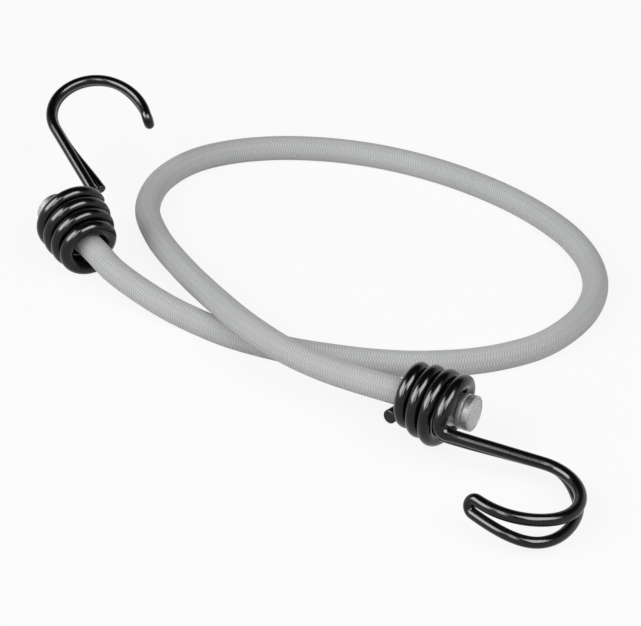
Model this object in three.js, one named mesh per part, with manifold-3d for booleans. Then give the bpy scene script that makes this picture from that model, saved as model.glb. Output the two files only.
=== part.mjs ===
// Bungee cord: one length of braided elastic cord, laid in a single loop on the ground.
// Each end of the cord is crimped into a pressed metal cap. The cap sits inside a tapered coil
// of wire, and the same wire runs on to make a doubled hook. The cap is wider than the narrow
// end of the coil, so pulling on the cord seats the cap in the coil.
//
// Units are millimetres and +Z is up. The ground is z = 0, and the origin lies midway between
// the outermost points of the two hooks.

import * as THREE from "three";
import { mergeVertices } from "three/addons/utils/BufferGeometryUtils.js";
import Module from "manifold-3d";

// Cord
const cordDiameter = 8;
const sheathWall = 1.1;
const strandClearance = 0.3;
const restFlatDepth = 0.8;

// End cap
const capWall = 1;
const capClearance = 0.3;
const capLength = 13;
const capEndThickness = 1;
const capEdgeRadius = 0.6;
const crimpDepth = 0.45;
const crimpWidth = 2.4;
const crimpFromEnd = 5;
const straightRun = 13.5;

// Hook wire and its tapered coil
const wireDiameter = 3.8;
const wireEndBevel = 0.5;
const mouthClearance = 2.5;
const throatClearance = 0.95;
const coilTurns = 3.75;
const coilPitch = 4.5;
const coilLeadOut = 0.4;
const coilTailLength = 3.6;

// Hook shape
const bendRadius = 3;
const crownRadius = 13.7;
const crownSweep = 141.5;
const returnRadius = 19.4;
const legGap = 0.5;
const tailRun = 3.7;
const tipTurnShare = 0.78;

// Faces
const cordSides = 12;
const coreSides = 8;
const cordSteps = 80;
const wireSides = 8;
const coilStepsPerTurn = 24;
const bendSteps = 6;
const shankSteps = 6;
const crownSteps = 13;
const returnSteps = 7;
const hairpinSteps = 8;
const capSides = 32;

const degree = Math.PI / 180;
const fullTurn = 2 * Math.PI;

// Sizes that follow from the ones above
const cordRadius = cordDiameter / 2;
const sheathBore = cordDiameter - 2 * sheathWall;
const coreDiameter = sheathBore - 2 * strandClearance;
const capBoreRadius = cordRadius + capClearance;
const capRadius = capBoreRadius + capWall;
const wireRadius = wireDiameter / 2;
const wireSpacing = wireDiameter + legGap;
const coilMouthRadius = capRadius + mouthClearance + wireRadius;
const coilThroatRadius = cordRadius + throatClearance + wireRadius;
const restHeight = cordRadius - restFlatDepth;
const weldDistance = cordDiameter * 1e-5;

// Where each cap lies. The place is the middle of its closed end, and its own +X is its axis,
// from the cord towards that end. The hook turns about this axis.
const caps = {
  left: { place: new THREE.Vector3(-77.2, 52.6, 12), yaw: 125.8, pitch: 5.7 },
  right: { place: new THREE.Vector3(50.8, -57.5, 13.8), yaw: -28, pitch: 0.9 },
};

// Where each hook lies. Its own +X is the axis of the coil, from the cord towards the cap. The
// coil sits a little askew on the cap, as it is loose there. The shank leans in towards the axis
// of the coil by one angle, and drops below it by another.
// The second leg of the wire springs a little away from the first, in a direction of its own:
// each stop gives the share of the leg's length from the coil, and the shift in wire spacings.
const hooks = {
  left: {
    place: new THREE.Vector3(-71.2, 47.9, 12.6),
    yaw: 114.6,
    pitch: 11.6,
    roll: -9,
    release: 19,
    shankLength: 31.3,
    shankLean: 2.8,
    shankDrop: -5.1,
    returnSweep: 52.2,
    legShares: [
      [0, [0.74, -0.3, -0.95]],
      [1, [0.74, -0.3, -0.95]],
    ],
  },
  right: {
    place: new THREE.Vector3(45.7, -55.3, 11.9),
    yaw: -34.2,
    pitch: -6,
    roll: -5.8,
    release: 14.8,
    shankLength: 28.3,
    shankLean: 17.5,
    shankDrop: 0.8,
    returnSweep: 67.1,
    legShares: [
      [0, [0.06, 0.8, -0.77]],
      [0.34, [-0.09, 0.87, -0.65]],
      [0.52, [-0.2, 0.45, -1.03]],
      [0.78, [0.5, -0.85, -1.07]],
      [1, [0.06, -0.19, -1]],
    ],
  },
};

// The route of the cord between the two coils, chosen by hand: x, y, and the height of the cord
// above where it rests on the ground
const cordRoute = [
  [-56.8, 23.9, 5.1],
  [-49.1, 16.7, 3.2],
  [-39.2, 9.3, 1],
  [-29.6, 2.6, 0.1],
  [-20.6, -3.4, 0],
  [-10.6, -8.3, 0],
  [-1.1, -11.9, 0],
  [9.9, -14.9, 0],
  [21.6, -17.3, 0],
  [33.4, -18.5, 0],
  [42.3, -18.3, 0],
  [51.3, -17.3, 0],
  [61.4, -14.6, 0],
  [72.3, -9.4, 0],
  [81.1, -1.2, 0],
  [87.4, 8.4, 0],
  [91.1, 20.9, 0],
  [90.5, 33.9, 0],
  [85.4, 48.3, 0],
  [75.9, 62.2, 0],
  [64.1, 74.2, 0],
  [48.4, 85.8, 0],
  [32.7, 94, 0],
  [17.9, 99, 0],
  [3.9, 101.4, 0],
  [-9.6, 101.6, 0],
  [-22.4, 99.3, 0],
  [-33.1, 94.6, 0],
  [-40.8, 87.4, 0],
  [-45.9, 78.2, 0],
  [-48, 64.7, 0],
  [-44.2, 49.2, 0.2],
  [-35.8, 28.7, 2.6],
  [-25.1, 6.9, 6],
  [-13.9, -12.2, 8.7],
  [-2.6, -25.2, 9.3],
  [7.4, -32.6, 9],
  [16.9, -39, 9.6],
];

const looks = {
  sheath: { color: 0xa9abab, roughness: 0.75, metalness: 0 },
  rubber: { color: 0xcdb98e, roughness: 0.6, metalness: 0 },
  cap: { color: 0xa8a9aa, roughness: 0.35, metalness: 1 },
  wire: { color: 0x0d0d0e, roughness: 0.25, metalness: 0 },
};

const wasm = await Module();
wasm.setup();

// A closed geometry as a solid that can be cut
function toSolid(geometry) {
  const bare = new THREE.BufferGeometry();
  bare.setAttribute("position", geometry.getAttribute("position"));
  if (geometry.index) bare.setIndex(geometry.index);
  const merged = mergeVertices(bare, weldDistance);
  return new wasm.Manifold(new wasm.Mesh({
    numProp: 3,
    vertProperties: new Float32Array(merged.getAttribute("position").array),
    triVerts: new Uint32Array(merged.index.array),
  }));
}

function toGeometry(solid) {
  const mesh = solid.getMesh();
  const geometry = new THREE.BufferGeometry();
  geometry.setAttribute("position", new THREE.BufferAttribute(mesh.vertProperties, 3));
  geometry.setIndex(new THREE.BufferAttribute(mesh.triVerts, 1));
  geometry.computeVertexNormals();
  return geometry;
}

// From a piece's own axes to where the piece lies
function placeMatrix({ place, yaw, pitch, roll = 0 }) {
  return new THREE.Matrix4()
    .makeTranslation(...place)
    .multiply(new THREE.Matrix4().makeRotationZ(yaw * degree))
    .multiply(new THREE.Matrix4().makeRotationY(-pitch * degree))
    .multiply(new THREE.Matrix4().makeRotationX(roll * degree));
}

// A point on a cap's axis, measured along it from the cap's closed end
function onAxis(cap, distance) {
  return new THREE.Vector3(distance, 0, 0).applyMatrix4(placeMatrix(cap));
}

// Hook wire

// The centre line of the coil, from its free end in the throat to its mouth. The radius falls
// with the square of the turns, and the last turn opens out towards the hook.
function coilLine(hook) {
  const release = hook.release * degree / fullTurn;
  const steps = Math.round((coilTurns - release) * coilStepsPerTurn);
  const points = [];
  for (let step = steps; step >= 0; step -= 1) {
    const turns = THREE.MathUtils.lerp(release, coilTurns, step / steps);
    const taper = (turns / coilTurns) ** 2;
    const radius = coilMouthRadius - (coilMouthRadius - coilThroatRadius) * taper;
    const lead = 1 - (1 - Math.min(turns, 1)) ** 2;
    const angle = turns * fullTurn;
    points.push(new THREE.Vector3(
      -coilPitch * turns - coilLeadOut * lead,
      -radius * Math.cos(angle),
      radius * Math.sin(angle),
    ));
  }
  const tail = points[0].clone().sub(points[1]).setLength(coilTailLength);
  points.unshift(points[0].clone().add(tail));
  return points;
}

// A trail is a centre line that grows from its last point along its heading
function runOn(trail, length, steps) {
  const stride = trail.heading.clone().multiplyScalar(length / steps);
  for (let step = 1; step <= steps; step += 1) {
    trail.points.push(trail.points.at(-1).clone().add(stride));
  }
}

// Bends the trail towards a unit vector square to its heading
function bendOn(trail, toward, radius, sweep, steps) {
  const start = trail.points.at(-1).clone();
  const heading = trail.heading.clone();
  for (let step = 1; step <= steps; step += 1) {
    const angle = (sweep * step) / steps;
    trail.points.push(start.clone()
      .addScaledVector(heading, radius * Math.sin(angle))
      .addScaledVector(toward, radius * (1 - Math.cos(angle))));
  }
  trail.heading = heading.clone().multiplyScalar(Math.cos(sweep))
    .addScaledVector(toward, Math.sin(sweep));
  return toward.clone().multiplyScalar(Math.cos(sweep)).addScaledVector(heading, -Math.sin(sweep));
}

// The unit vector square to a heading that leans most towards a target direction
function squareTo(heading, target) {
  return target.clone().addScaledVector(heading, -target.dot(heading)).normalize();
}

// The shift of the second leg at a share of the leg's length, eased between its stops
function legShift(stops, share) {
  const next = Math.max(1, stops.findIndex(([at]) => at >= share));
  const [from, shiftFrom] = stops[next - 1];
  const [to, shiftTo] = stops[next];
  const mix = THREE.MathUtils.smoothstep(share, from, to);
  return new THREE.Vector3(...shiftFrom)
    .lerp(new THREE.Vector3(...shiftTo), mix)
    .multiplyScalar(wireSpacing);
}

// The whole wire: coil, bend, first leg, hairpin at the tip, second leg and its cut end
function wireLine(hook) {
  const lean = hook.shankLean * degree;
  const drop = hook.shankDrop * degree;
  const along = new THREE.Vector3(
    Math.cos(lean) * Math.cos(drop),
    Math.sin(lean) * Math.cos(drop),
    -Math.sin(drop),
  );
  const mouthward = new THREE.Vector3(Math.sin(lean), -Math.cos(lean), 0);

  const release = hook.release * degree;
  const trail = {
    points: coilLine(hook),
    heading: new THREE.Vector3(0, -Math.sin(release), -Math.cos(release)),
  };
  const bend = Math.acos(trail.heading.dot(along));
  bendOn(trail, squareTo(trail.heading, along), bendRadius, bend, bendSteps);

  const legStart = trail.points.length - 1;
  runOn(trail, hook.shankLength, shankSteps);
  const inward = bendOn(trail, mouthward, crownRadius, crownSweep * degree, crownSteps);
  bendOn(trail, inward, returnRadius, hook.returnSweep * degree, returnSteps);

  const firstLeg = trail.points.slice(legStart);
  const lengths = [0];
  for (let index = 1; index < firstLeg.length; index += 1) {
    lengths.push(lengths[index - 1] + firstLeg[index].distanceTo(firstLeg[index - 1]));
  }
  const tip = firstLeg.at(-1);
  const across = squareTo(trail.heading, legShift(hook.legShares, 1));
  const hairpinRadius = wireSpacing / 2;
  bendOn(trail, across, hairpinRadius, Math.PI, hairpinSteps);

  const tipShift = trail.points.at(-1).clone().sub(tip);
  const plainShift = legShift(hook.legShares, 1);
  for (let index = firstLeg.length - 2; index >= 0; index -= 1) {
    const share = lengths[index] / lengths.at(-1);
    const nearTip = THREE.MathUtils.smoothstep(share, tipTurnShare, 1);
    const shift = legShift(hook.legShares, share)
      .add(tipShift.clone().sub(plainShift).multiplyScalar(nearTip));
    trail.points.push(firstLeg[index].clone().add(shift));
  }
  trail.heading = along.clone().negate();
  runOn(trail, tailRun, 1);
  return trail.points;
}

// A round wire swept along a centre line, closed with a bevelled flat at each end
function sweptWire(line) {
  const radii = line.map(() => wireRadius);
  const centres = line.map((point) => point.clone());
  const bevel = (end, inner) => {
    const inset = inner.clone().sub(end).setLength(wireEndBevel);
    return end.clone().add(inset);
  };
  centres.splice(1, 0, bevel(line[0], line[1]));
  radii.splice(0, 0, wireRadius - wireEndBevel);
  centres.splice(-1, 0, bevel(line.at(-1), line.at(-2)));
  radii.push(wireRadius - wireEndBevel);

  const headings = centres.map((point, index) => {
    const before = centres[Math.max(0, index - 1)];
    const after = centres[Math.min(centres.length - 1, index + 1)];
    return after.clone().sub(before).normalize();
  });
  let side = squareTo(headings[0], new THREE.Vector3(1, 0, 0));
  const positions = [];
  const triangles = [];
  centres.forEach((centre, index) => {
    side = squareTo(headings[index], side);
    const up = headings[index].clone().cross(side);
    for (let corner = 0; corner < wireSides; corner += 1) {
      const angle = (corner / wireSides) * fullTurn;
      positions.push(...centre.clone()
        .addScaledVector(side, radii[index] * Math.cos(angle))
        .addScaledVector(up, radii[index] * Math.sin(angle)));
    }
  });
  for (let ring = 0; ring < centres.length - 1; ring += 1) {
    for (let corner = 0; corner < wireSides; corner += 1) {
      const next = (corner + 1) % wireSides;
      const a = ring * wireSides + corner;
      const b = ring * wireSides + next;
      triangles.push(a, b, b + wireSides, a, b + wireSides, a + wireSides);
    }
  }
  const lastRing = (centres.length - 1) * wireSides;
  for (let corner = 1; corner < wireSides - 1; corner += 1) {
    triangles.push(0, corner + 1, corner);
    triangles.push(lastRing, lastRing + corner, lastRing + corner + 1);
  }
  const geometry = new THREE.BufferGeometry();
  geometry.setAttribute("position", new THREE.Float32BufferAttribute(positions, 3));
  geometry.setIndex(triangles);
  geometry.computeVertexNormals();
  return geometry;
}

// The least gap between two stretches of one wire that don't follow on from each other
function leastGap(line) {
  let least = Infinity;
  const lengths = [0];
  for (let index = 1; index < line.length; index += 1) {
    lengths.push(lengths[index - 1] + line[index].distanceTo(line[index - 1]));
  }
  const apart = Math.PI * wireSpacing / 2;
  for (let first = 0; first < line.length; first += 1) {
    for (let second = first + 1; second < line.length; second += 1) {
      if (lengths[second] - lengths[first] > apart) {
        least = Math.min(least, line[first].distanceTo(line[second]));
      }
    }
  }
  return least - wireDiameter;
}

// End cap

// The cap's profile as radius and distance along the axis, from the closed end
function capProfile() {
  const half = crimpWidth / 2;
  const edge = capEdgeRadius * (1 - Math.SQRT1_2);
  return [
    [0, -capEndThickness],
    [capBoreRadius, -capEndThickness],
    [capBoreRadius, -capLength],
    [capRadius, -capLength],
    [capRadius, -crimpFromEnd - half],
    [capRadius - crimpDepth, -crimpFromEnd - half / 2],
    [capRadius - crimpDepth, -crimpFromEnd + half / 2],
    [capRadius, -crimpFromEnd + half],
    [capRadius, -capEdgeRadius],
    [capRadius - edge, -edge],
    [capRadius - capEdgeRadius, 0],
    [0, 0],
  ];
}

function capGeometry() {
  const profile = capProfile().map(([radius, along]) => new THREE.Vector2(radius, along));
  return new THREE.LatheGeometry(profile, capSides).rotateZ(-Math.PI / 2);
}

// Cord

// The cord ends against the closed end of each cap, and lies straight through both coils
function cordLine() {
  const end = -capEndThickness - capClearance;
  const exit = -capLength - straightRun;
  const stretch = [0, 1 / 3, 2 / 3, 1].map((share) => THREE.MathUtils.lerp(end, exit, share));
  const left = stretch.map((distance) => onAxis(caps.left, distance));
  const right = stretch.map((distance) => onAxis(caps.right, distance)).reverse();
  const middle = cordRoute.map(([x, y, rise]) => new THREE.Vector3(x, y, restHeight + rise));
  return new THREE.CatmullRomCurve3([...left, ...middle, ...right], false, "centripetal");
}

function circle(radius, sides) {
  const points = [];
  for (let corner = 0; corner < sides; corner += 1) {
    const angle = ((corner + 0.5) / sides) * fullTurn;
    points.push(new THREE.Vector2(radius * Math.cos(angle), radius * Math.sin(angle)));
  }
  return points;
}

function alongCord(section, path) {
  return new THREE.ExtrudeGeometry(section, {
    steps: cordSteps,
    extrudePath: path,
    bevelEnabled: false,
  });
}

// The underside of the cord is pressed flat where it lies on the ground
function restFlat(geometry) {
  const box = new THREE.Box3().setFromBufferAttribute(geometry.getAttribute("position"));
  const size = box.getSize(new THREE.Vector3());
  const ground = new THREE.BoxGeometry(size.x + cordDiameter, size.y + cordDiameter, cordDiameter);
  const centre = box.getCenter(new THREE.Vector3());
  ground.translate(centre.x, centre.y, -cordRadius);
  return toGeometry(toSolid(geometry).subtract(toSolid(ground)));
}

function sheathGeometry(path) {
  const section = new THREE.Shape(circle(cordRadius, cordSides));
  section.holes.push(new THREE.Path(circle(sheathBore / 2, cordSides)));
  return restFlat(alongCord(section, path));
}

function coreGeometry(path) {
  return alongCord(new THREE.Shape(circle(coreDiameter / 2, coreSides)), path);
}

// Assembly
function addPiece(group, name, geometry, look, matrix = new THREE.Matrix4()) {
  const mesh = new THREE.Mesh(geometry, new THREE.MeshStandardMaterial(look));
  mesh.name = name;
  mesh.applyMatrix4(matrix);
  group.add(mesh);
}

const bungee = new THREE.Group();
const path = cordLine();
addPiece(bungee, "cord_sheath", sheathGeometry(path), looks.sheath);
addPiece(bungee, "rubber_core", coreGeometry(path), looks.rubber);
for (const [side, hook] of Object.entries(hooks)) {
  const line = wireLine(hook);
  addPiece(bungee, `${side}_end_cap`, capGeometry(), looks.cap, placeMatrix(caps[side]));
  addPiece(bungee, `${side}_hook`, sweptWire(line), looks.wire, placeMatrix(hook));
  console.log(`${side} hook wire: least gap to itself ${leastGap(line).toFixed(2)} mm`);
}
console.log(`cord length ${path.getLength().toFixed(1)} mm`);

export default bungee;
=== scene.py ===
# %% [markdown]
# # A bungee cord
#
# This lesson dresses a small assembly: a braided elastic cord laid in a loop, a pressed metal cap on
# each end, and a hook of doubled black wire whose tapered coil turns on the cap. The construction is
# fixed already, and every surface made here lies where its solid lies. Everything that shows is a
# surface worked out with numpy: a section carried along a line, or an outline turned about an axis.

# %% The fixed frame
import math

import bpy
import numpy as np
from mathutils import Matrix, Vector


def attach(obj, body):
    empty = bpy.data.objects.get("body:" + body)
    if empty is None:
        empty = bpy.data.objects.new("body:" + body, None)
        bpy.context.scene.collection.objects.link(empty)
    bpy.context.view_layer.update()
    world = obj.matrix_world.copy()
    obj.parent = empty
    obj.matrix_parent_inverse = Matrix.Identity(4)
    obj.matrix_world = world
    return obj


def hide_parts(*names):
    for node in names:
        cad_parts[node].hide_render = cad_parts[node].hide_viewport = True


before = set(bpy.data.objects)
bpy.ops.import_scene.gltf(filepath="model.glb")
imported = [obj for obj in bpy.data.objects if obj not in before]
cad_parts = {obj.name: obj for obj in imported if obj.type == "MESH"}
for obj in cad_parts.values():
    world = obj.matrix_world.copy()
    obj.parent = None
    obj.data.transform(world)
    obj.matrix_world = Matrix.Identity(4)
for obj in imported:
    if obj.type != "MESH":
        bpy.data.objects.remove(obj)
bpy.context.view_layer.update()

mm = 0.001

# %% [markdown]
# ## Camera
#
# A long lens far from the object keeps its lines nearly parallel, as in a catalogue picture. The
# camera looks down 35 degrees at a point on the ground inside the loop. It could be aimed with a
# constraint, but a direction turned into a rotation once is simpler to read and to keep.

# %% Camera
view_elevation = math.radians(35)
view_distance = 0.99
view_target = Vector((6.9 * mm, 12.4 * mm, 0))
sensor_width = 36
lens = 182.4


def place_camera():
    """The camera stands back from the target against its viewing direction, which runs along +Y
    and down."""
    heading = Vector((0, math.cos(view_elevation), -math.sin(view_elevation)))
    data = bpy.data.cameras.new("camera")
    data.lens = lens
    data.sensor_width = sensor_width
    camera = bpy.data.objects.new("camera", data)
    bpy.context.scene.collection.objects.link(camera)
    camera.location = view_target - view_distance * heading
    camera.rotation_euler = heading.to_track_quat("-Z", "Y").to_euler()
    bpy.context.scene.camera = camera
    return camera


camera = place_camera()
bpy.context.scene.view_settings.view_transform = "Standard"
print("camera stands at", [round(x, 3) for x in camera.location])

# %% [markdown]
# ## Where the two ends lie
#
# Each end of the cord runs straight through the coil of a hook into a cap. A cap has axes of its own:
# its closed end is at zero, and +X points out of that end along the cord's line. Two or three turns
# and a place set such axes in the scene. The cord and the caps share them, so they come first.

# %% Cap axes
cord_radius = 4 * mm
cap_length = 13 * mm
cap_end_thickness = 1 * mm
cap_clearance = 0.3 * mm
straight_run = 13.5 * mm

cap_places = {
    "left": {"place": (-77.2 * mm, 52.6 * mm, 12 * mm), "yaw": 125.8, "pitch": 5.7},
    "right": {"place": (50.8 * mm, -57.5 * mm, 13.8 * mm), "yaw": -28, "pitch": 0.9},
}


def turn_about(axis, degrees):
    """The 3 by 3 matrix that turns points about X, Y or Z."""
    return np.array(Matrix.Rotation(math.radians(degrees), 3, axis))


def set_in_place(points, stand):
    """Points in a piece's own axes, turned by roll, pitch and yaw in that order, then moved to the
    piece's place."""
    yaw = turn_about("Z", stand["yaw"])
    pitch = turn_about("Y", -stand["pitch"])
    roll = turn_about("X", stand.get("roll", 0))
    return np.asarray(points) @ (yaw @ pitch @ roll).T + np.array(stand["place"])


for side, stand in cap_places.items():
    print(side, "cap is closed at", np.round(np.array(stand["place"]) / mm, 1), "mm")

# %% [markdown]
# ## The route of the cord
#
# The cord lies in one loop and crosses over itself once, in a long low hump. Its points are listed
# along the middle of the cord, and a smooth curve is drawn through them. A plain cubic can loop
# or kink where the points are uneven. One whose slopes weigh the two neighbouring chords by the
# square roots of their lengths doesn't, so it suits a given list. The third number is how far the
# cord lies above its resting height, which is a little less than its radius because the soft braid is
# pressed flat on the ground.

# %% Route points
rest_flat_depth = 0.8 * mm
rest_height = cord_radius - rest_flat_depth

route = np.array([
    (-56.8, 23.9, 5.1), (-49.1, 16.7, 3.2), (-39.2, 9.3, 1), (-29.6, 2.6, 0.1), (-20.6, -3.4, 0),
    (-10.6, -8.3, 0), (-1.1, -11.9, 0), (9.9, -14.9, 0), (21.6, -17.3, 0), (33.4, -18.5, 0),
    (42.3, -18.3, 0), (51.3, -17.3, 0), (61.4, -14.6, 0), (72.3, -9.4, 0), (81.1, -1.2, 0),
    (87.4, 8.4, 0), (91.1, 20.9, 0), (90.5, 33.9, 0), (85.4, 48.3, 0), (75.9, 62.2, 0),
    (64.1, 74.2, 0), (48.4, 85.8, 0), (32.7, 94, 0), (17.9, 99, 0), (3.9, 101.4, 0),
    (-9.6, 101.6, 0), (-22.4, 99.3, 0), (-33.1, 94.6, 0), (-40.8, 87.4, 0), (-45.9, 78.2, 0),
    (-48, 64.7, 0), (-44.2, 49.2, 0.2), (-35.8, 28.7, 2.6), (-25.1, 6.9, 6), (-13.9, -12.2, 8.7),
    (-2.6, -25.2, 9.3), (7.4, -32.6, 9), (16.9, -39, 9.6),
]) * mm
print("the route has", len(route), "points")


# %% Smooth lines
def smooth_through(points, steps):
    """A cubic on each stretch between two points. Its slope at a point weighs the chords on both
    sides by the square roots of their lengths. steps is the number of points on each stretch."""
    before = 2 * points[0] - points[1]
    after = 2 * points[-1] - points[-2]
    p = np.vstack([before, points, after])
    knots = np.sqrt(np.linalg.norm(np.diff(p, axis=0), axis=1))[:, None]
    p0, p1, p2, p3 = p[:-3], p[1:-2], p[2:-1], p[3:]
    k0, k1, k2 = knots[:-2], knots[1:-1], knots[2:]
    slope1 = ((p1 - p0) / k0 - (p2 - p0) / (k0 + k1) + (p2 - p1) / k1) * k1
    slope2 = ((p2 - p1) / k1 - (p3 - p1) / (k1 + k2) + (p3 - p2) / k2) * k1
    t = np.linspace(0, 1, steps, endpoint=False)[None, :, None]
    curve = (p1[:, None] * (2 * t**3 - 3 * t**2 + 1) + slope1[:, None] * (t**3 - 2 * t**2 + t)
             + p2[:, None] * (3 * t**2 - 2 * t**3) + slope2[:, None] * (t**3 - t**2))
    return np.vstack([curve.reshape(-1, 3), points[-1]])


def lengths_along(line):
    """The distance travelled along a line at each of its points."""
    steps = np.linalg.norm(np.diff(line, axis=0), axis=1)
    return np.concatenate([[0], np.cumsum(steps)])


def evenly(line, count):
    """The same line with count points at equal distances along it."""
    travelled = lengths_along(line)
    wanted = np.linspace(0, travelled[-1], count)
    return np.column_stack([np.interp(wanted, travelled, line[:, k]) for k in range(3)])


# %% The middle line of the cord
points_on_axis = 4
steps_per_stretch = 40


def cord_middle_line():
    """Straight from the closed end of the left cap out of its coil, round the route, and straight
    into the right coil up to the closed end of the right cap."""
    deep = -cap_end_thickness - cap_clearance
    out = -cap_length - straight_run
    on_axis = np.zeros((points_on_axis, 3))
    on_axis[:, 0] = np.linspace(deep, out, points_on_axis)
    left = set_in_place(on_axis, cap_places["left"])
    right = set_in_place(on_axis, cap_places["right"])[::-1]
    middle = route + np.array([0, 0, rest_height])
    return smooth_through(np.vstack([left, middle, right]), steps_per_stretch)


cord_line = cord_middle_line()

# %% [markdown]
# ## A section carried along a line
#
# Cord and wire are one idea: a round section carried along a line. The section must not spin as it
# goes, or the braid would corkscrew. So each ring takes over the side direction of the ring before,
# less what points along its own heading. The result is a grid of points, ring by ring.

# %% Carrying a section
def headings_of(line):
    """The unit direction at each point, from the point before to the point after."""
    step = np.gradient(line, axis=0)
    return step / np.linalg.norm(step, axis=1)[:, None]


def carried_axes(line, first_side):
    """Side and up directions at each point. Each side is the last one made square to the new
    heading, so this one goes along the line ring by ring."""
    heading = headings_of(line)
    side = np.empty_like(line)
    last = np.array(first_side, float)
    for index, ahead in enumerate(heading):
        last = last - ahead * (last @ ahead)
        last /= np.linalg.norm(last)
        side[index] = last
    return side, np.cross(heading, side)


def carry(line, radius, angles, first_side):
    """Grid of points: middle point + radius * (side * cos angle + up * sin angle). The radius may
    differ at every point of the grid."""
    side, up = carried_axes(line, first_side)
    across = side[:, None] * np.cos(angles)[None, :, None]
    upward = up[:, None] * np.sin(angles)[None, :, None]
    radius = np.broadcast_to(radius, (len(line), len(angles)))
    return line[:, None] + (across + upward) * radius[:, :, None]


def ring_angles(count):
    """Equal steps round a full turn, without the last, which is the first again."""
    return np.linspace(0, 2 * math.pi, count, endpoint=False)


# %% [markdown]
# ## From a grid to a mesh
#
# A grid that closes on itself one way becomes quads with a little index arithmetic. Each of its two
# open ends is closed with one flat face. A mesh editor could bridge the rings one by one, but whole
# arrays do it at once. The same function writes the UV map, so that a pattern can follow the surface
# wherever it bends.

# %% Grid to mesh
sharp_angle = math.radians(40)


def grid_mesh(name, grid, uv, body):
    """An object from a grid of rings. Corner (i, j) joins (i, j+1), (i+1, j+1) and (i+1, j), the last
    column joins the first, and the first and last rings are closed by flat faces. uv gives u at each
    ring and v at each column plus one more for the seam."""
    rings, sides = grid.shape[:2]
    ring, column = np.meshgrid(np.arange(rings - 1), np.arange(sides), indexing="ij")
    following = (column + 1) % sides
    quads = np.stack([ring * sides + column, ring * sides + following,
                      (ring + 1) * sides + following, (ring + 1) * sides + column], axis=-1)
    first_end = list(range(sides))[::-1]
    last_end = [(rings - 1) * sides + j for j in range(sides)]
    mesh = bpy.data.meshes.new(name)
    faces = [*quads.reshape(-1, 4).tolist(), first_end, last_end]
    mesh.from_pydata(grid.reshape(-1, 3).tolist(), [], faces)

    u, v = uv
    corner_u = np.stack([u[ring], u[ring], u[ring + 1], u[ring + 1]], axis=-1).reshape(-1)
    corner_v = np.stack([v[column], v[column + 1], v[column + 1], v[column]], axis=-1).reshape(-1)
    ends = np.zeros((2 * sides, 2))
    pairs = np.vstack([np.column_stack([corner_u, corner_v]), ends]).astype(np.float32)
    mesh.uv_layers.new(name="along").data.foreach_set("uv", pairs.reshape(-1))
    mesh.shade_smooth()
    mesh.set_sharp_from_angle(angle=sharp_angle)

    piece = bpy.data.objects.new(name, mesh)
    bpy.context.scene.collection.objects.link(piece)
    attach(piece, body)
    print(name, "has", len(mesh.polygons), "faces")
    return piece


# %% [markdown]
# ## The braided sheath
#
# A machine braids the sheath from fine yarn. Seen close, the yarns lie in rows of short ribs that run
# almost square across the cord. Each row slants the other way from the next and starts half a rib
# further on, so the ribs of one row end between those of its neighbours. A picture of a braid could
# be wrapped round a plain tube, but its outline would stay smooth. Here the relief is worked out as a
# height on the grid and changes the radius: real geometry, so the outline is finely toothed too.
# The grid has three columns to each row of ribs and a ring about every quarter of a rib, which is as
# coarse as the pattern allows.

# %% Braid relief
rib_pitch = 0.84 * mm
rib_rows = 12
rib_slant = 0.6
row_offset = 0.5
rib_roundness = 0.8
belly_share = 0.2
belly_roundness = 0.5


def braid_relief(ribs_along, rows_round):
    """Height from 0 to 1. Across the cord, rows_round folds back and forth (a triangle wave), and that
    fold shifts the ribs, so rows slant by turns. Every other row is set half a rib further on. A rib
    is a rounded arch |sin|, a little higher in the middle of its row, where the yarn rides over, than
    at the edges, where it dives under."""
    fold = np.abs((rows_round % 2) - 1)
    step = row_offset * (np.floor(rows_round) % 2)
    phase = ribs_along + rib_slant * fold + step
    rib = np.abs(np.sin(math.pi * phase))
    belly = np.sin(math.pi * (rows_round % 1)) ** belly_roundness
    return (1 - belly_share + belly_share * belly) * rib**rib_roundness


# %% Sheath radius
coil_swell = 0.15 * mm
swell_reach = 26 * mm


def sheath_radius(travelled):
    """The cord's radius along its length. It swells a little towards each cap, by the square of how
    near it is, where the braid is gathered in, and falls back to its own size inside the cap."""
    from_end = np.minimum(travelled, travelled[-1] - travelled) - cap_length
    near = np.clip(1 - from_end / swell_reach, 0, 1)
    inside = np.clip(-from_end / straight_run, 0, 1)
    return cord_radius + coil_swell * near**2 * (1 - inside)


# %% Sheath mesh
rib_height = 0.1 * mm
columns_per_row = 3
sheath_rings = 2680
pressed_share = 0.5


def make_sheath():
    """Cord line evenly divided, the gaps between the ribs cut into the radius, and what dips below
    the ground laid on it, where the gaps keep half their depth."""
    line = evenly(cord_line, sheath_rings)
    travelled = lengths_along(line)
    columns = rib_rows * columns_per_row
    rows_round = np.arange(columns) / columns_per_row
    relief = braid_relief((travelled / rib_pitch)[:, None], rows_round[None, :])
    depth = rib_height * (1 - relief)
    radius = sheath_radius(travelled)[:, None] - depth
    grid = carry(line, radius, ring_angles(columns), (0, 0, 1))
    grid[:, :, 2] = np.maximum(grid[:, :, 2], depth * pressed_share)
    uv = (travelled / rib_pitch, np.append(rows_round, rib_rows))
    return grid_mesh("braided_sheath", grid, uv, "cord"), line


sheath, sheath_line = make_sheath()
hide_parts("cord_sheath")

# %% [markdown]
# ## The rubber core
#
# Inside the braid lies a bundle of latex strands. It never shows, but it is part of how the cord is
# made, so it gets a lobed section that turns slowly along the cord, one lobe for each outer strand.
# Every strand could be a tube of its own, but they lie pressed together, so one lobed form is enough.

# %% Core mesh
core_radius = 2.6 * mm
outer_strands = 12
columns_per_strand = 6
strand_lay = 40 * mm
strand_groove = 0.22 * mm
strand_roundness = 0.6
core_rings = 700


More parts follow.
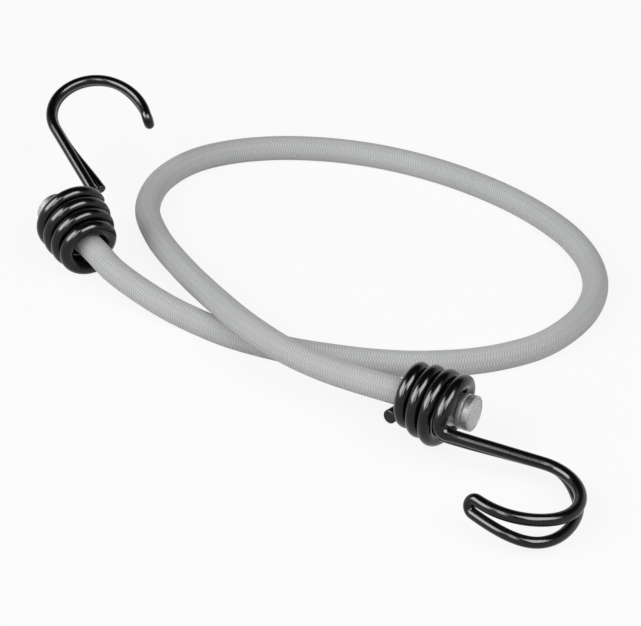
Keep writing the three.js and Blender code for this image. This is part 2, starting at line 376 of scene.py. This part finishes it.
def make_core():
    """Radius = core radius - groove * (1 - |cos(strands * (angle - twist) / 2)| ^ roundness)."""
    line = evenly(cord_line, core_rings)
    travelled = lengths_along(line)
    angles = ring_angles(outer_strands * columns_per_strand)
    twist = 2 * math.pi * travelled[:, None] / strand_lay
    lobe = np.abs(np.cos(outer_strands * (angles[None, :] - twist) / 2))
    radius = core_radius - strand_groove * (1 - lobe**strand_roundness)
    grid = carry(line, radius, angles, (0, 0, 1))
    uv = (travelled / mm, np.linspace(0, outer_strands, len(angles) + 1))
    return grid_mesh("latex_strands", grid, uv, "cord")


core = make_core()
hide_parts("rubber_core")

# %% [markdown]
# ## An outline turned about an axis
#
# The end caps are pressed from sheet on a round die, so they are turned forms. The outline is a short
# list of corners, each with its own rounding. A bevel over the finished mesh would round them all
# alike. Here each corner is replaced by an arc that touches both of its sides, which is how a real
# press tool leaves its edges.

# %% Rounded outline
arc_steps = 6
most_of_side = 0.49


def rounded(corners, radii):
    """Points along the corners with each corner cut back to where a circle of its radius touches both
    sides, and the arc drawn as a quadratic blend between those two points. No arc takes as much as
    half of a side."""
    out = [corners[0]]
    for before, corner, after, radius in zip(corners[:-2], corners[1:-1], corners[2:], radii[1:-1]):
        side_back = np.linalg.norm(before - corner)
        side_ahead = np.linalg.norm(after - corner)
        back = (before - corner) / side_back
        ahead = (after - corner) / side_ahead
        half = math.acos(np.clip(back @ ahead, -1, 1)) / 2
        reach = min(radius / math.tan(half), side_back * most_of_side, side_ahead * most_of_side)
        t = np.linspace(0, 1, arc_steps)[:, None]
        start = corner + back * reach
        end = corner + ahead * reach
        out.extend((1 - t) ** 2 * start + 2 * t * (1 - t) * corner + t**2 * end)
    out.append(corners[-1])
    return np.array(out)


# %% Turned mesh
turned_sides = 96
pin_radius = 0.02 * mm


def turned_mesh(name, outline, stand, body):
    """An outline of (distance along the axis, radius), turned about the piece's +X axis: x, then
    radius * cos angle, then radius * sin angle. A tiny ring closes it on the axis at each end."""
    along = outline[:, 0]
    radius = np.maximum(outline[:, 1], pin_radius)
    angles = ring_angles(turned_sides)
    grid = np.stack([np.broadcast_to(along[:, None], (len(along), turned_sides)),
                     radius[:, None] * np.cos(angles), radius[:, None] * np.sin(angles)], axis=-1)
    uv = (lengths_along(outline) / mm, np.linspace(0, 1, turned_sides + 1))
    placed = set_in_place(grid.reshape(-1, 3), stand).reshape(grid.shape)
    return grid_mesh(name, placed, uv, body)


# %% [markdown]
# ## End caps
#
# Each cap is a short cup over the end of the cord, crimped tight a little way in. A ring stands out
# beside its closed end, a narrow groove is rolled in behind it, and a fine line runs round the face
# where the sheet was tucked in. The whole cup is wider than the narrow end of the coil, so the coil
# holds it. Lines this fine could be drawn by a bump, but they show on the rim, so they are turned too.

# %% Cap outline
cap_wall = 1 * mm
ring_width = 2 * mm
groove_width = 0.8 * mm
groove_depth = 0.3 * mm
groove_side = 0.3
crimp_from_end = 5 * mm
crimp_width = 2.4 * mm
crimp_depth = 0.45 * mm
face_line_radius = 4.55 * mm
face_line_width = 0.34 * mm
face_line_depth = 0.3 * mm


def cap_outline():
    """From the middle of the closed end inside, along the bore, round the open edge and back outside
    to the middle of the face. Each corner is its place along the axis, its radius, and its rounding
    in millimetres."""
    bore = cord_radius + cap_clearance
    outer = bore + cap_wall
    floor = -cap_end_thickness
    groove = -ring_width
    line_in = face_line_radius - face_line_width / 2
    line_out = face_line_radius + face_line_width / 2
    corners = np.array([
        (floor, 0, 0),
        (floor, bore, 0.3),
        (-cap_length, bore, 0.3),
        (-cap_length, outer, 0.4),
        (-crimp_from_end - crimp_width / 2, outer, 0.4),
        (-crimp_from_end - crimp_width / 4, outer - crimp_depth, 0.3),
        (-crimp_from_end + crimp_width / 4, outer - crimp_depth, 0.3),
        (-crimp_from_end + crimp_width / 2, outer, 0.4),
        (groove - groove_width, outer, 0.15),
        (groove - groove_width * (1 - groove_side), outer - groove_depth, 0.1),
        (groove - groove_width * groove_side, outer - groove_depth, 0.1),
        (groove, outer, 0.2),
        (0, outer, 0.6),
        (0, line_out, 0.05),
        (-face_line_depth, face_line_radius, 0.05),
        (0, line_in, 0.05),
        (0, 0, 0),
    ])
    return rounded(corners[:, :2], corners[:, 2] * mm)


print("the cap's outline has", len(cap_outline()), "points")


# %% Cap meshes
def make_cap(side):
    """One turned cap that stands for the cap of the frame."""
    cap = turned_mesh(f"{side}_pressed_cap", cap_outline(), cap_places[side], "cord")
    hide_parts(f"{side}_end_cap")
    return cap


caps = [make_cap(side) for side in cap_places]

# %% [markdown]
# ## The hook wire
#
# Each hook is a single length of wire. It starts at a cut end in the narrow throat of the coil, winds
# out to the mouth, leaves the coil along a straight shank, goes round the crown and along a wide
# return arc, turns back on itself at the tip, and runs all the way back beside its first leg. It
# could be a curve drawn by hand, but a bending machine makes it from turns, lengths and sweeps. So the
# line is put together from the same numbers in the same order, and each stretch starts from where the
# last one ended and the way it was heading.

# %% Wire sizes
wire_spacing = 4.3 * mm
coil_mouth = 9.7 * mm
coil_throat = 6.85 * mm
coil_turns = 3.75
coil_pitch = 4.5 * mm
coil_lead_out = 0.4 * mm
bend_radius = 3 * mm
crown_radius = 13.7 * mm
crown_sweep = math.radians(141.5)
return_radius = 19.4 * mm
tip_turn_share = 0.78
print(f"a crown is {2 * crown_radius / mm:.1f} mm across the middle of its wire")

# %% [markdown]
# ## Two hooks that differ
#
# Two hooks bent on one machine still differ. Each has its own place and its own few lengths and
# angles. release is how many degrees before the end of its last turn the coil lets the wire go.
# lean and drop turn the shank aside and down, and coil_tail is the straight stub in the throat. The
# second leg springs away from the first in a direction of its own: each pair in leg_shares gives a
# share of the leg's length from the coil, and the shift there in wire spacings. leg_end is how far
# the second leg runs on past the start of the first, or stops short of it where it is negative.
# leg_radii are the two legs' radii with their coating.

# %% The two hooks
hooks = {
    "left": {
        "place": (-71.2 * mm, 47.9 * mm, 12.6 * mm), "yaw": 114.6, "pitch": 11.6, "roll": -9,
        "release": 19, "shank": 31.3 * mm, "lean": 2.8, "drop": -5.1, "return_sweep": 52.2,
        "coil_tail": 3.6 * mm, "leg_end": -3.4 * mm, "leg_radii": (1.62 * mm, 1.62 * mm),
        "leg_shares": [(0, (0.48, -0.87, -0.99)), (0.32, (0.74, -0.3, -0.95)),
                       (1, (0.74, -0.3, -0.95))],
    },
    "right": {
        "place": (45.7 * mm, -55.3 * mm, 11.9 * mm), "yaw": -34.2, "pitch": -6, "roll": -5.8,
        "release": 14.8, "shank": 28.3 * mm, "lean": 17.5, "drop": 0.8, "return_sweep": 67.1,
        "coil_tail": 6.2 * mm, "leg_end": 3.7 * mm, "leg_radii": (1.85 * mm, 1.7 * mm),
        "leg_shares": [(0, (0.06, 0.8, -0.77)), (0.34, (-0.09, 0.87, -0.65)),
                       (0.52, (-0.2, 0.45, -1.03)), (0.78, (0.5, -0.85, -1.07)),
                       (1, (0.06, -0.19, -1))],
    },
}
for side, hook in hooks.items():
    print(side, f"shank is {hook['shank'] / mm:.1f} mm long")

# %% Coil line
coil_steps_per_turn = 64
tail_steps = 8


def coil_line(release, coil_tail):
    """Turns counted back from the mouth. The radius falls with the square of the turns, the coil moves
    one pitch along the axis for each turn, and the first turn opens out by the lead-out. The free end
    runs straight on past the throat."""
    steps = round((coil_turns - release / 360) * coil_steps_per_turn)
    turns = np.linspace(coil_turns, release / 360, steps + 1)
    radius = coil_mouth - (coil_mouth - coil_throat) * (turns / coil_turns) ** 2
    lead = 1 - (1 - np.minimum(turns, 1)) ** 2
    angle = 2 * math.pi * turns
    points = np.column_stack([-coil_pitch * turns - coil_lead_out * lead,
                              -radius * np.cos(angle), radius * np.sin(angle)])
    tail = points[0] - points[1]
    reach = np.linspace(coil_tail, 0, tail_steps, endpoint=False)[:, None]
    return np.vstack([points[0] + tail / np.linalg.norm(tail) * reach, points])


# %% Straight stretches and bends
def unit(vector):
    """The vector divided by its length."""
    return vector / np.linalg.norm(vector)


def square_to(heading, target):
    """The unit direction square to the heading that leans most towards the target."""
    return unit(target - heading * (heading @ target))


def run_on(line, heading, length, steps):
    """Straight on from the end of the line."""
    reach = np.linspace(0, length, steps + 1)[1:, None]
    return np.vstack([line, line[-1] + heading * reach])


def cut_back(line, length):
    """The line without this much of its end."""
    travelled = lengths_along(line)
    kept = line[travelled < travelled[-1] - length]
    end = [np.interp(travelled[-1] - length, travelled, line[:, k]) for k in range(3)]
    return np.vstack([kept, end])


def bend_on(line, heading, toward, radius, sweep, steps):
    """An arc from the end of the line: forward by radius * sin and towards the centre by
    radius * (1 - cos). Returns the line, its new heading and the new direction of the centre."""
    angle = np.linspace(0, sweep, steps + 1)[1:, None]
    arc = line[-1] + heading * radius * np.sin(angle) + toward * radius * (1 - np.cos(angle))
    new_heading = heading * math.cos(sweep) + toward * math.sin(sweep)
    new_toward = toward * math.cos(sweep) - heading * math.sin(sweep)
    return np.vstack([line, arc]), new_heading, new_toward


# %% The second leg's shift
def smoothstep(x, low, high):
    """0 below low, 1 above high, and 3t^2 - 2t^3 between."""
    t = np.clip((x - low) / (high - low), 0, 1)
    return t * t * (3 - 2 * t)


def leg_shift(stops, share):
    """How far the second leg lies from the first at each share of the leg, eased between its stops."""
    shift = np.tile(np.array(stops[0][1], float), (len(share), 1))
    for (low, _), (high, target) in zip(stops[:-1], stops[1:]):
        mix = smoothstep(share, low, high)[:, None]
        shift = shift * (1 - mix) + np.array(target) * mix
    return shift * wire_spacing


# %% The whole wire
bend_steps = 16
shank_steps = 30
crown_steps = 44
return_steps = 26
hairpin_steps = 22
leg_end_steps = 6


def wire_line(hook):
    """Coil, bend, first leg, hairpin at the tip, second leg and its cut end, in the hook's own axes.
    Returns the line, and how far along it the first leg starts and ends."""
    release, lean, drop, return_sweep = (
        math.radians(hook[key]) for key in ("release", "lean", "drop", "return_sweep"))
    along = np.array([math.cos(lean) * math.cos(drop), math.sin(lean) * math.cos(drop),
                      -math.sin(drop)])
    mouthward = np.array([math.sin(lean), -math.cos(lean), 0])
    line = coil_line(hook["release"], hook["coil_tail"])
    heading = np.array([0, -math.sin(release), -math.cos(release)])
    bend = math.acos(heading @ along)
    toward = square_to(heading, along)
    line, heading, _ = bend_on(line, heading, toward, bend_radius, bend, bend_steps)

    start = len(line) - 1
    line = run_on(line, heading, hook["shank"], shank_steps)
    line, heading, inward = bend_on(line, heading, mouthward, crown_radius, crown_sweep, crown_steps)
    line, heading, _ = bend_on(line, heading, inward, return_radius, return_sweep, return_steps)
    first_leg = line[start:]
    share = lengths_along(first_leg) / lengths_along(first_leg)[-1]
    marks = lengths_along(line)[[start, -1]]

    plain = leg_shift(hook["leg_shares"], share)
    across = square_to(heading, plain[-1])
    line, _, _ = bend_on(line, heading, across, wire_spacing / 2, math.pi, hairpin_steps)
    at_tip = line[-1] - first_leg[-1]
    shift = plain + (at_tip - plain[-1]) * smoothstep(share, tip_turn_share, 1)[:, None]
    line = np.vstack([line, (first_leg + shift)[-2::-1]])
    if hook["leg_end"] > 0:
        return run_on(line, -along, hook["leg_end"], leg_end_steps), marks
    return cut_back(line, -hook["leg_end"]), marks


# %% [markdown]
# ## The coating on the wire
#
# The bent wire is dipped, and the coating doesn't lie equally thick. It runs together between the
# close turns of the coil and drains off the free legs. The section could be the same all along, but
# then the turns would stand apart where the real ones nearly meet. So the radius changes along the
# line, and it is drawn in over the cut ends, where the coating leaves a soft edge.

# %% Coating thickness
coil_wire_radius = 2.15 * mm
coat_ease = 4 * mm


def coat_radius(travelled, marks, leg_radii):
    """The coil's radius up to the first leg, then the first leg's, then past the tip the second leg's,
    each eased into the next over about a centimetre."""
    leg_start, tip = marks
    first, second = leg_radii
    onto_leg = smoothstep(travelled, leg_start - coat_ease, leg_start + coat_ease)
    past_tip = smoothstep(travelled, tip - coat_ease, tip + 2 * coat_ease)
    return coil_wire_radius + (first - coil_wire_radius) * onto_leg + (second - first) * past_tip


# %% Rounded ends
end_rounding = 0.35 * mm
rounding_steps = 6
rounding_reach = 1.5


def rounded_ends(line, radius_at):
    """The line and its radius, drawn in at each end by a quarter circle:
    radius - rounding * (1 - sqrt(1 - (1 - distance / rounding)^2)). The line's own points within
    one and a half roundings of an end give way to those of the quarter circle."""
    travelled = lengths_along(line)
    near_end = end_rounding * (1 - np.cos(np.linspace(0, math.pi / 2, rounding_steps)))
    shrink = end_rounding * (1 - np.sqrt(1 - (1 - near_end / end_rounding) ** 2))
    clear = rounding_reach * end_rounding
    between = travelled[(travelled > clear) & (travelled < travelled[-1] - clear)]
    places = np.concatenate([near_end, between, travelled[-1] - near_end[::-1]])
    drawn_in = np.concatenate([shrink, np.zeros(len(between)), shrink[::-1]])
    line = np.column_stack([np.interp(places, travelled, line[:, k]) for k in range(3)])
    return line, radius_at(places) - drawn_in


# %% Wire mesh
wire_sides = 32
coat_unevenness = 0.02 * mm
slow_wave = 5.3 * mm
quick_wave = 2.1 * mm


def make_hook(side):
    """A round section carried along the wire's line, and the whole set in place. Two waves that wind
    round the wire make the coating a little uneven."""
    hook = hooks[side]
    line, marks = wire_line(hook)
    line, radii = rounded_ends(
        line, lambda travelled: coat_radius(travelled, marks, hook["leg_radii"]))
    travelled = lengths_along(line)
    angles = ring_angles(wire_sides)
    wave = (np.sin(travelled[:, None] / slow_wave + 2 * angles)
            + np.sin(travelled[:, None] / quick_wave - angles))
    uneven = radii[:, None] - coat_unevenness * (1 - wave / 2) / 2
    grid = carry(line, uneven, angles, (1, 0, 0.1))
    placed = set_in_place(grid.reshape(-1, 3), hook).reshape(grid.shape)
    uv = (travelled / mm, np.linspace(0, 1, wire_sides + 1))
    piece = grid_mesh(f"{side}_coated_hook", placed, uv, f"{side}_hook")
    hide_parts(f"{side}_hook")
    print(side, f"hook wire is {travelled[-1] / mm:.0f} mm long")
    return piece


coated_hooks = [make_hook(side) for side in hooks]

# %% [markdown]
# ## Materials
#
# Every finish is a node material. A small helper starts each one with its plain values set on the
# shader itself, and the nodes then add what varies over the surface. Built by hand in the editor the
# nodes would do the same, but in code each value can be read next to its name.

# %% Material helpers
def new_material(name, colour, roughness, metallic=0.0, **sockets):
    """A material whose Principled shader has these plain values."""
    material = bpy.data.materials.new(name)
    material.use_nodes = True
    shader = material.node_tree.nodes["Principled BSDF"]
    shader.inputs["Base Color"].default_value = (*colour, 1)
    shader.inputs["Roughness"].default_value = roughness
    shader.inputs["Metallic"].default_value = metallic
    for socket, value in sockets.items():
        shader.inputs[socket.replace("_", " ")].default_value = value
    return material, material.node_tree, shader


def add(tree, kind, inputs=(), **settings):
    """A node with its settings, and its inputs given by name or number as values or as sockets."""
    node = tree.nodes.new(kind)
    for key, value in settings.items():
        setattr(node, key, value)
    for key, value in dict(inputs).items():
        if isinstance(value, bpy.types.NodeSocket):
            tree.links.new(value, node.inputs[key])
        else:
            node.inputs[key].default_value = value
    return node


def maths(tree, operation, *values, clamp=False):
    """One Math node, and its result."""
    node = add(tree, "ShaderNodeMath", dict(enumerate(values)), operation=operation, use_clamp=clamp)
    return node.outputs[0]


def varied(tree, mask, base, spread):
    """base + spread * mask."""
    return maths(tree, "MULTIPLY_ADD", mask, spread, base)


# %% Colour and bump helpers
def tone_between(tree, mask, first, second, low=0.0, high=1.0):
    """A colour that goes straight from the first tone to the second as the mask goes from low to
    high."""
    ramp = add(tree, "ShaderNodeValToRGB", {0: mask})
    stops = ramp.color_ramp.elements
    stops[0].position = low
    stops[1].position = high
    stops[0].color = (*first, 1)
    stops[1].color = (*second, 1)
    return ramp.outputs[0]


def bumped(tree, shader, height, strength, distance):
    """A Bump node that turns a height into the shader's Normal."""
    bump = add(tree, "ShaderNodeBump", {"Height": height, "Strength": strength, "Distance": distance})
    tree.links.new(bump.outputs[0], shader.inputs["Normal"])


def stretched_noise(tree, place, stretch, scale, detail):
    """Noise on a place that is first stretched by its own factor each way."""
    pulled = add(tree, "ShaderNodeVectorMath", {0: place, 1: stretch}, operation="MULTIPLY")
    noise = add(tree, "ShaderNodeTexNoise", {"Vector": pulled.outputs[0], "Scale": scale,
                                             "Detail": detail})
    return noise.outputs["Fac"]


# %% Group helpers
def new_group(name, inputs, outputs):
    """An empty node group with named number sockets: inputs as (name, value), outputs as names."""
    kind = "NodeSocketFloat"
    group = bpy.data.node_groups.new(name, "ShaderNodeTree")
    for label, value in inputs:
        socket = group.interface.new_socket(label, in_out="INPUT", socket_type=kind)
        socket.default_value = value
    for label in outputs:
        group.interface.new_socket(label, in_out="OUTPUT", socket_type=kind)
    return group, group.nodes.new("NodeGroupInput"), group.nodes.new("NodeGroupOutput")


def use_group(tree, group, **inputs):
    """The group placed in a material, with its inputs given by name."""
    named = {key.replace("_", " "): value for key, value in inputs.items()}
    return add(tree, "ShaderNodeGroup", named, node_tree=group)


# %% [markdown]
# ## Patterns as node groups
#
# A pattern that a finish builds on is a node group with named inputs and outputs, built once. The
# braid group follows the same ribs as the relief, so colour and form agree, and adds the single yarns
# that are too fine for the mesh. The other group holds soft blotches and fine specks, as handling and
# dust leave on any surface, and every finish takes it with scales of its own.

# %% Braid group
yarns_per_rib = 4.0
yarn_twist = 2.4
yarn_depth = 0.14


def make_braid_group():
    """The relief's formula from the UV map: u counts ribs and v counts rows. It puts out a height with
    single yarns in each rib, rib + yarn depth * |sin(yarn phase)| * rib, and a mask of the gaps,
    1 - rib."""
    group, given, result = new_group(
        "braid", [("Ribs", 0.0), ("Rows", 0.0), ("Slant", 1.0), ("Yarns", 4.0)], ["Height", "Gap"])
    ribs, rows, slant, yarns = given.outputs[:4]

    def step(operation, *values, **settings):
        """One Math node in this group, and its result."""
        return maths(group, operation, *values, **settings)

    def arch_of(turn):
        """|sin turn|, a row of round arches."""
        return step("ABSOLUTE", step("SINE", turn))

    fold = step("PINGPONG", step("SUBTRACT", rows, 1.0), 1.0)
    odd_row = step("MODULO", step("FLOOR", rows), 2.0)
    slanted = step("ADD", ribs, step("MULTIPLY", slant, fold))
    phase = varied(group, odd_row, slanted, row_offset)
    arch = step("POWER", arch_of(step("MULTIPLY", phase, math.pi)), rib_roundness)
    across = step("FRACT", rows)
    belly = step("POWER", arch_of(step("MULTIPLY", across, math.pi)), belly_roundness)
    rib = step("MULTIPLY", arch, varied(group, belly, 1 - belly_share, belly_share))
    twist = step("MULTIPLY", across, yarn_twist)
    yarn_phase = step("ADD", step("MULTIPLY", phase, yarns), twist)
    yarn = arch_of(step("MULTIPLY", yarn_phase, math.pi))
    height = varied(group, step("MULTIPLY", yarn, rib), rib, yarn_depth)
    gap = step("SUBTRACT", 1.0, rib, clamp=True)
    group.links.new(height, result.inputs["Height"])
    group.links.new(gap, result.inputs["Gap"])
    return group


braid_group = make_braid_group()
print(braid_group.name, "group has", len(braid_group.nodes), "nodes")


# %% Handling marks group
def make_marks_group():
    """Soft blotches and fine specks: two noises on Object coordinates."""
    group, given, result = new_group(
        "handling_marks", [("Blotch Scale", 60.0), ("Speck Scale", 900.0)], ["Blotch", "Speck"])
    place = add(group, "ShaderNodeTexCoord").outputs["Object"]
    for label, scale, detail in (("Blotch", given.outputs[0], 3.0), ("Speck", given.outputs[1], 2.0)):
        noise = add(group, "ShaderNodeTexNoise", {"Vector": place, "Scale": scale, "Detail": detail})
        group.links.new(noise.outputs["Fac"], result.inputs[label])
    return group


marks_group = make_marks_group()
print(marks_group.name, "group has", len(marks_group.nodes), "nodes")

# %% [markdown]
# ## Braid finish
#
# The yarn is a mid light grey with a faint cool cast. Ribs are paler on top and darker in the gaps.
# The dark in the gaps is painted shade where light doesn't reach, and partly dirt that stays there.
# Long streaks of noise along each yarn keep it from looking machined, and a little sheen at the edges
# is what fine synthetic fibre shows.

# %% Braid material
# The second tone is the gaps' colour: painted shade, and partly dirt.
rib_top = (0.5, 0.505, 0.508)
gap_shade_and_dirt = (0.27, 0.272, 0.276)


def braid_material():
    """Tone from the gap mask, with painted shade and dirt darkening the gaps, times two kinds of
    marks, and a bump from the yarns and their fibres.
    """
    material, tree, shader = new_material(
        "grey_braid", (0.4, 0.405, 0.405), 0.72, Sheen_Weight=0.25, Sheen_Roughness=0.4,
        Specular_IOR_Level=0.35)
    along = add(tree, "ShaderNodeUVMap", uv_map="along").outputs[0]
    parts = add(tree, "ShaderNodeSeparateXYZ", {0: along})
    braid = use_group(tree, braid_group, Ribs=parts.outputs[0], Rows=parts.outputs[1],
                      Slant=rib_slant, Yarns=yarns_per_rib)
    marks = use_group(tree, marks_group, Blotch_Scale=45.0, Speck_Scale=2600.0)

    # Painted shade and dirt: the tone darkens from the ribs' crests into the gaps between them.
    tone = tone_between(tree, braid.outputs["Gap"], rib_top, gap_shade_and_dirt)
    shade = varied(tree, marks.outputs["Blotch"], base=0.92, spread=0.16)
    speck = varied(tree, marks.outputs["Speck"], base=0.85, spread=0.3)
    both = maths(tree, "MULTIPLY", shade, speck)
    scaled = add(tree, "ShaderNodeVectorMath", {0: tone, "Scale": both}, operation="SCALE")
    tree.links.new(scaled.outputs[0], shader.inputs["Base Color"])

    fibre = stretched_noise(tree, along, stretch=(9.0, 1.2, 1.0), scale=2.0, detail=2.0)
    height = varied(tree, fibre, base=braid.outputs["Height"], spread=0.25)
    bumped(tree, shader, height, strength=0.35, distance=0.08 * mm)
    return material


sheath.data.materials.append(braid_material())

# %% [markdown]
# ## Latex finish
#
# Bare latex is a warm cream with a dusting of talc, so it is matt and a little patchy. The blotches
# of the marks group give the patches and its specks the talc, so it needs no pattern of its own.

# %% Latex material
bare_latex = (0.52, 0.4, 0.22)
talced_latex = (0.68, 0.57, 0.38)


def latex_material():
    """Tone from the blotches, and a fine bump from the specks."""
    material, tree, shader = new_material("cream_latex", (0.6, 0.48, 0.28), 0.6)
    marks = use_group(tree, marks_group, Blotch_Scale=90.0, Speck_Scale=1500.0)
    tone = tone_between(tree, marks.outputs["Blotch"], bare_latex, talced_latex)
    tree.links.new(tone, shader.inputs["Base Color"])
    bumped(tree, shader, marks.outputs["Speck"], strength=0.3, distance=0.05 * mm)
    return material


core.data.materials.append(latex_material())

# %% [markdown]
# ## Pressed metal finish
#
# The caps are plated steel, bright but not polished. Fine lines from the die run round them, so a
# very low bump follows the outline's length in the UV map. Blotches dull the metal in places, and
# specks mottle its tone.

# %% Cap material
dull_steel = (0.36, 0.365, 0.37)
bright_steel = (0.56, 0.565, 0.565)


def cap_material():
    """Roughness from the blotches, tone from the specks, and a bump from noise drawn out into lines
    that run round the cap."""
    material, tree, shader = new_material("plated_steel", (0.6, 0.605, 0.61), 0.5, metallic=1.0)
    along = add(tree, "ShaderNodeUVMap", uv_map="along").outputs[0]
    marks = use_group(tree, marks_group, Blotch_Scale=260.0, Speck_Scale=1400.0)
    rough = varied(tree, marks.outputs["Blotch"], base=0.42, spread=0.2)
    tree.links.new(rough, shader.inputs["Roughness"])
    tone = tone_between(tree, marks.outputs["Speck"], dull_steel, bright_steel, low=0.3, high=0.7)
    tree.links.new(tone, shader.inputs["Base Color"])
    lines = stretched_noise(tree, along, stretch=(6.0, 2.0, 1.0), scale=3.0, detail=3.0)
    bumped(tree, shader, lines, strength=0.25, distance=0.05 * mm)
    return material


steel = cap_material()
for cap in caps:
    cap.data.materials.append(steel)

# %% [markdown]
# ## Coated wire finish
#
# The wire is dipped in a glossy black coating. Black gloss is all reflection, so the colour hardly
# matters: what shows is how smooth the coating is. It has a slow orange-peel ripple and a roughness
# that changes a little where hands and other hooks have rubbed it.

# %% Wire material
def wire_material():
    """Roughness from the blotches, and a slow low ripple from wide specks."""
    material, tree, shader = new_material("black_coating", (0.002, 0.002, 0.0022), 0.18, IOR=1.36)
    marks = use_group(tree, marks_group, Blotch_Scale=130.0, Speck_Scale=260.0)
    rough = varied(tree, marks.outputs["Blotch"], base=0.13, spread=0.1)
    tree.links.new(rough, shader.inputs["Roughness"])
    bumped(tree, shader, marks.outputs["Speck"], strength=0.05, distance=0.03 * mm)
    return material


coating = wire_material()
for coated_hook in coated_hooks:
    coated_hook.data.materials.append(coating)
print("two pieces each share:", ", ".join(material.name for material in (steel, coating)))

# %% [markdown]
# ## Floor and backdrop
#
# The object lies on a white ground that runs into a white background. Strong light on a white floor
# would do it, but it would bleach the cord as well. So the ground and the world give the camera,
# metal and gloss a plain white of their own, and light the object at a plain level. The part of the
# ground that takes light still shows the object's soft shadow. In reflections the world is dark
# overhead, which keeps the black wire black.

# %% Floor
floor_size = 6.0
floor_tone = 0.7
floor_glow_share = 0.88


def ray_kinds(tree):
    """Two masks from Light Path: camera rays, and rays that metal, gloss or glass send on."""
    ray = add(tree, "ShaderNodeLightPath")
    mirror = maths(tree, "MAXIMUM", ray.outputs["Is Glossy Ray"], ray.outputs["Is Transmission Ray"])
    return ray.outputs["Is Camera Ray"], mirror


def make_floor():
    """A flat square. To the camera and in reflections it is part lit surface and part plain white, by
    a Mix shader on the kind of ray; to every other ray it is a pale lit surface."""
    half = floor_size / 2
    mesh = bpy.data.meshes.new("floor")
    corners = [(-half, -half, 0), (half, -half, 0), (half, half, 0), (-half, half, 0)]
    mesh.from_pydata(corners, [], [(0, 1, 2, 3)])
    floor = bpy.data.objects.new("floor", mesh)
    bpy.context.scene.collection.objects.link(floor)
    material = bpy.data.materials.new("white_ground")
    material.use_nodes = True
    tree = material.node_tree
    tree.nodes.clear()
    lit = add(tree, "ShaderNodeBsdfDiffuse", {"Color": (floor_tone, floor_tone, floor_tone, 1)})
    glow = add(tree, "ShaderNodeEmission", {"Color": (1, 1, 1, 1), "Strength": 1.0})
    seen = maths(tree, "MAXIMUM", *ray_kinds(tree))
    share = maths(tree, "MULTIPLY", seen, floor_glow_share)
    mixed = add(tree, "ShaderNodeMixShader", {0: share, 1: lit.outputs[0], 2: glow.outputs[0]})
    out = add(tree, "ShaderNodeOutputMaterial")
    tree.links.new(mixed.outputs[0], out.inputs["Surface"])
    mesh.materials.append(material)
    return floor


floor = make_floor()
print("floor is", floor_size, "m across")

# %% World
fill_strength = 0.2
ceiling_tone = 0.02
horizon_top = 0.25
ceiling_start = 0.5


def make_world():
    """White for the camera. In reflections, white near the horizon and a dark ceiling above it. For
    everything that is only lit, an even grey fill."""
    world = bpy.data.worlds.new("studio")
    bpy.context.scene.world = world
    world.use_nodes = True
    tree = world.node_tree
    tree.nodes.clear()
    camera_ray, mirror_ray = ray_kinds(tree)
    way = add(tree, "ShaderNodeTexCoord")
    rise = add(tree, "ShaderNodeSeparateXYZ", {0: way.outputs["Generated"]}).outputs[2]
    ceiling = add(tree, "ShaderNodeMapRange",
                  {0: rise, 1: horizon_top, 2: ceiling_start, 3: 1.0, 4: ceiling_tone})
    reflected = maths(tree, "MULTIPLY", mirror_ray, ceiling.outputs[0])
    unseen = maths(tree, "SUBTRACT", 1.0, maths(tree, "MAXIMUM", camera_ray, mirror_ray))
    fill = maths(tree, "MULTIPLY", unseen, fill_strength)
    strength = maths(tree, "ADD", maths(tree, "MAXIMUM", camera_ray, reflected), fill)
    back = add(tree, "ShaderNodeBackground", {"Color": (1, 1, 1, 1), "Strength": strength})
    out = add(tree, "ShaderNodeOutputWorld")
    tree.links.new(back.outputs[0], out.inputs["Surface"])
    return world


print("world is", make_world().name)

# %% [markdown]
# ## Lamps
#
# Two soft boxes light everything, one from the left and one from the right, both on the camera's
# side. Black gloss is drawn by what it reflects, and at that plain level the boxes would be faint in
# it. Brighter boxes would bleach the cord. So each box has a brighter twin just behind it that only
# the hooks see, and only as a reflection, which gives each turn its pair of highlights. A third such
# box, tall and narrow near the camera, draws the shanks.

# %% Lamps
lamp_distance = 1.2
glint_distance = 1.25
glint_level = 15.0
soft_boxes = {
    "left_box": {"azimuth": -110, "elevation": 38, "width": 1.1, "height": 0.85, "level": 3.8},
    "right_box": {"azimuth": 136, "elevation": 48, "width": 1.0, "height": 0.75, "level": 3.6},
}
front_box = {"azimuth": -160, "elevation": 44, "width": 0.26, "height": 0.9}


def soft_box(name, azimuth, elevation, width, height, level, distance=lamp_distance):
    """A rectangular lamp that stands off from the middle of the object and faces it. Azimuth counts
    from straight ahead of the camera round to the right, and level is the lamp's radiance, so its
    power is level * pi * area."""
    data = bpy.data.lights.new(name, "AREA")
    data.shape = "RECTANGLE"
    data.size = width
    data.size_y = height
    data.energy = level * math.pi * width * height
    lamp = bpy.data.objects.new(name, data)
    bpy.context.scene.collection.objects.link(lamp)
    turn, rise = math.radians(azimuth), math.radians(elevation)
    away = Vector((math.sin(turn) * math.cos(rise), math.cos(turn) * math.cos(rise), math.sin(rise)))
    lamp.location = view_target + away * distance
    lamp.rotation_euler = (-away).to_track_quat("-Z", "Y").to_euler()
    print(name, f"gives {data.energy:.1f} W")
    return lamp


def glint_box(name, pieces, **box):
    """A brighter lamp that only these pieces see, and only as a reflection."""
    lamp = soft_box(name, **{**box, "level": glint_level, "distance": glint_distance})
    lamp.visible_diffuse = False
    seen_by = bpy.data.collections.new(lamp.name + "_sees")
    for piece in pieces:
        seen_by.objects.link(piece)
    lamp.light_linking.receiver_collection = seen_by


for name, box in soft_boxes.items():
    soft_box(name, **box)
    glint_box(name + "_glint", coated_hooks, **box)
glint_box("front_box_glint", coated_hooks, **front_box)
